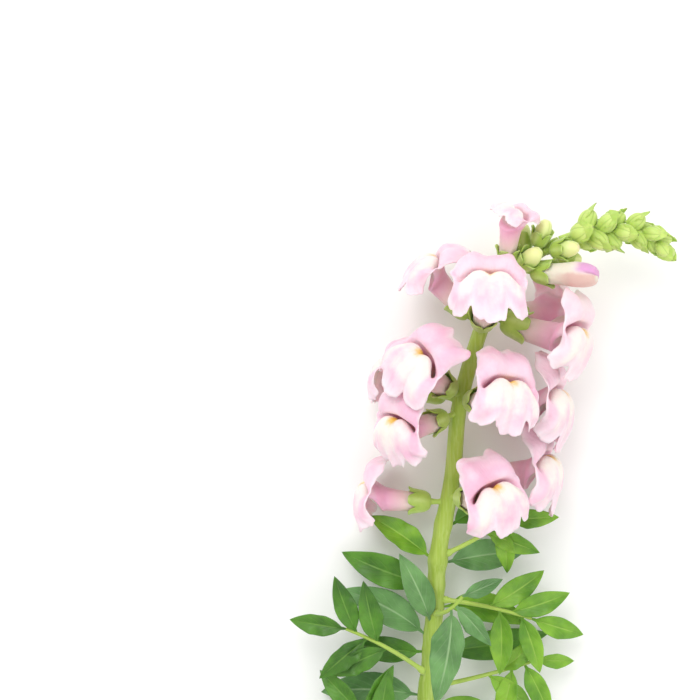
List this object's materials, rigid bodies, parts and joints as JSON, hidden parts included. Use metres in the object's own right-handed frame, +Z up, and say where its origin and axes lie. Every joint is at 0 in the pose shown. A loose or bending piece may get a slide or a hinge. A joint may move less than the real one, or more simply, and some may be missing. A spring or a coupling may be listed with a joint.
{
  "type": "snapdragon stem",
  "caption": "Cut snapdragon stem lying on a surface: two-lipped pink flowers, green buds, a curled bud tip and leafy side shoots.",
  "frame": {"origin": "middle of the footprint, on the surface that the stem lies on", "axes": "+Z up, +Y along the stem from the cut end towards the bud tip, +X to the side the bud tip curls to"},
  "size_m": [0.1949, 0.399, 0.0822],
  "materials": {
    "stem_green": "satin green stem",
    "bud_green": "satin pale green buds and bracts",
    "bud_cream": "satin cream green bud",
    "petal_pink": "soft waxy petal",
    "leaf_green": "satin leaf"
  },
  "bodies": {
    "root": {"bloom_01": "petal_pink", "bloom_02": "petal_pink", "bloom_03": "petal_pink", "bloom_04": "petal_pink", "bloom_05": "petal_pink", "bloom_06": "petal_pink", "bloom_07": "petal_pink", "bloom_08": "petal_pink", "bloom_09": "petal_pink", "bloom_10": "petal_pink", "bloom_11": "petal_pink", "bloom_12": "petal_pink", "bloom_13": "petal_pink", "bloom_14": "petal_pink", "bud_01": "bud_cream", "bud_02": "bud_cream", "bud_03": "bud_cream", "bud_04": "bud_cream", "bud_05": "bud_cream", "bud_tip": "bud_green", "leaf_01": "leaf_green", "leaf_02": "leaf_green", "leaf_03": "leaf_green", "leaf_04": "leaf_green", "leaf_05": "leaf_green", "leaf_06": "leaf_green", "leaf_07": "leaf_green", "leaf_08": "leaf_green", "leaf_09": "leaf_green", "leaf_10": "leaf_green", "leaf_11": "leaf_green", "leaf_12": "leaf_green", "leaf_13": "leaf_green", "shoot_01": "leaf_green", "shoot_02": "leaf_green", "shoot_03": "leaf_green", "shoot_04": "leaf_green", "shoot_05": "leaf_green", "shoot_06": "leaf_green", "stem": "stem_green"}
  },
  "joints": []
}
